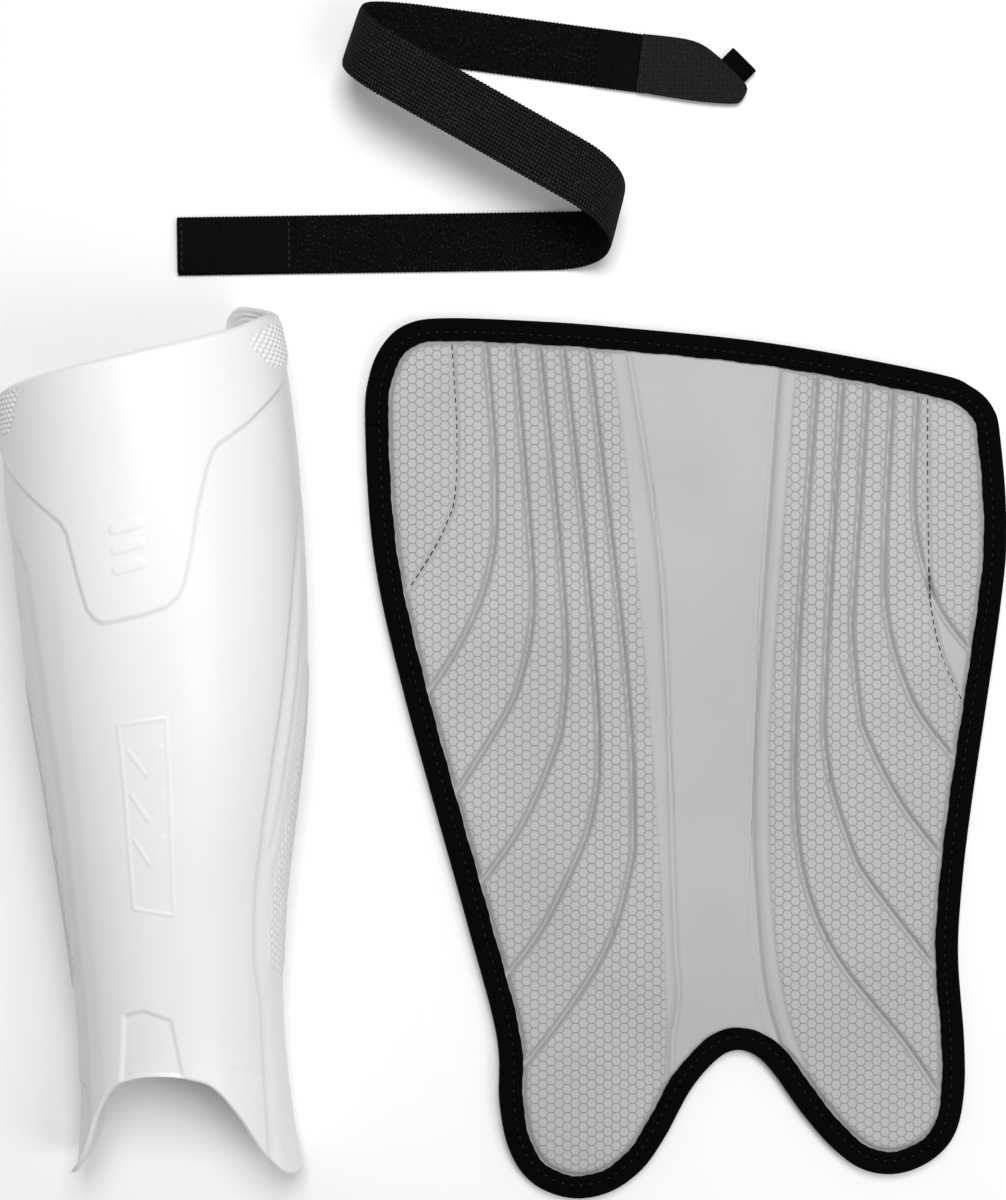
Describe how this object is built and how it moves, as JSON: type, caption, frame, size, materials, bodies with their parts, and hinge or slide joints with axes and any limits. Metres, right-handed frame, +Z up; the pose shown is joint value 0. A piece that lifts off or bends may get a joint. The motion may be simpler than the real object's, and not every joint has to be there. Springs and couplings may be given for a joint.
{
  "type": "field hockey shin guard",
  "caption": "Field hockey shin guard in its loose parts: moulded hard shell, removable grooved foam liner with sewn binding, and an elastic strap with a hook tab.",
  "frame": {"origin": "bottom centre of the laid-out set's bounding box, on the floor it lies on", "axes": "+X to the liner's side, away from the shell; +Y towards the knee end of the shell and liner; +Z up from the floor, out of the shell's front and the liner's leg side"},
  "size_m": [0.3336, 0.4092, 0.0823],
  "materials": {
    "shell_plastic": "moulded white polypropylene, satin gloss",
    "grey_foam": "matt moulded EVA foam with a fine hexagon texture",
    "binding_tape": "black ribbed polyester binding tape",
    "elastic_webbing": "black woven elastic with a brushed loop side",
    "pull_tape": "black woven tape",
    "hook_fastener": "black nylon hook fastener",
    "loop_fastener": "black nylon loop fastener"
  },
  "bodies": {
    "liner_centre": {"foam_centre": "grey_foam", "binding_centre_top": "binding_tape", "binding_notch": "binding_tape"},
    "liner_left_inner": {"foam_left_inner": "grey_foam", "binding_left_top": "binding_tape", "binding_left_foot": "binding_tape", "left_shin_loop_pad": "loop_fastener"},
    "liner_left_outer": {"foam_left_outer": "grey_foam", "binding_left_side": "binding_tape", "left_corner_loop_patch": "loop_fastener"},
    "liner_right_inner": {"foam_right_inner": "grey_foam", "binding_right_top": "binding_tape", "binding_right_foot": "binding_tape", "right_shin_loop_pad": "loop_fastener"},
    "liner_right_outer": {"foam_right_outer": "grey_foam", "binding_right_side": "binding_tape", "right_corner_loop_patch": "loop_fastener"},
    "shell": {"shell": "shell_plastic", "hook_pad_lower_left": "hook_fastener", "hook_pad_lower_right": "hook_fastener", "hook_pad_upper_left": "hook_fastener", "hook_pad_upper_right": "hook_fastener"},
    "strap_near": {"strap_near_run": "elastic_webbing", "strap_end_patch": "loop_fastener"},
    "strap_middle": {"strap_middle_run": "elastic_webbing"},
    "strap_far": {"strap_far_run": "elastic_webbing", "strap_loop_strip": "loop_fastener"},
    "tab": {"hook_tab": "hook_fastener"},
    "pull_loop": {"pull_loop": "pull_tape"}
  },
  "joints": [
    {"name": "left_wing_inner_fold", "type": "hinge", "parent": "liner_centre", "child": "liner_left_inner", "pos_m": [0.04011, 0, 0.0082], "axis": [-0.066, 0.9978, 0], "range_deg": [0, 60], "stiffness_Nm_per_rad": 0.02},
    {"name": "left_wing_outer_fold", "type": "hinge", "parent": "liner_left_inner", "child": "liner_left_outer", "pos_m": [0.00952, 0, 0.0082], "axis": [-0.073, 0.9973, 0], "range_deg": [0, 60], "stiffness_Nm_per_rad": 0.02},
    {"name": "right_wing_inner_fold", "type": "hinge", "parent": "liner_centre", "child": "liner_right_inner", "pos_m": [0.09092, 0, 0.0082], "axis": [-0.0348, -0.9994, 0], "range_deg": [0, 60], "stiffness_Nm_per_rad": 0.02},
    {"name": "right_wing_outer_fold", "type": "hinge", "parent": "liner_right_inner", "child": "liner_right_outer", "pos_m": [0.1235, 0, 0.0082], "axis": [0, -1, 0], "range_deg": [0, 60], "stiffness_Nm_per_rad": 0.02},
    {"name": "shell_lift", "type": "slide", "parent": "liner_centre", "child": "shell", "axis": [0, 0, 1], "range_m": [0, 0.12]},
    {"name": "strap_lift", "type": "slide", "parent": "liner_centre", "child": "strap_near", "axis": [0, 0, 1], "range_m": [0, 0.12]},
    {"name": "strap_right_fold", "type": "hinge", "parent": "strap_near", "child": "strap_middle", "pos_m": [0.03345, 0.12726, 0.0178], "axis": [0.2465, 0.9692, 0], "range_deg": [0, 120], "stiffness_Nm_per_rad": 0.002},
    {"name": "strap_left_fold", "type": "hinge", "parent": "strap_middle", "child": "strap_far", "pos_m": [-0.05416, 0.18954, 0.0178], "axis": [-0.3173, -0.9483, 0], "range_deg": [0, 15], "stiffness_Nm_per_rad": 0.002},
    {"name": "hook_tab_peel", "type": "hinge", "parent": "strap_far", "child": "tab", "pos_m": [0.0428, 0.1942, 0.0032], "axis": [-0.1203, -0.9927, 0], "range_deg": [0, 70], "stiffness_Nm_per_rad": 0.001},
    {"name": "pull_loop_flex", "type": "hinge", "parent": "tab", "child": "pull_loop", "pos_m": [0.07, 0.1857, 0.003], "axis": [0.7071, -0.7071, 0], "range_deg": [0, 60], "stiffness_Nm_per_rad": 0.0002}
  ],
  "couplings": [
    {"joint": "left_wing_outer_fold", "follows": "left_wing_inner_fold", "ratio": 1},
    {"joint": "right_wing_outer_fold", "follows": "right_wing_inner_fold", "ratio": 1}
  ]
}
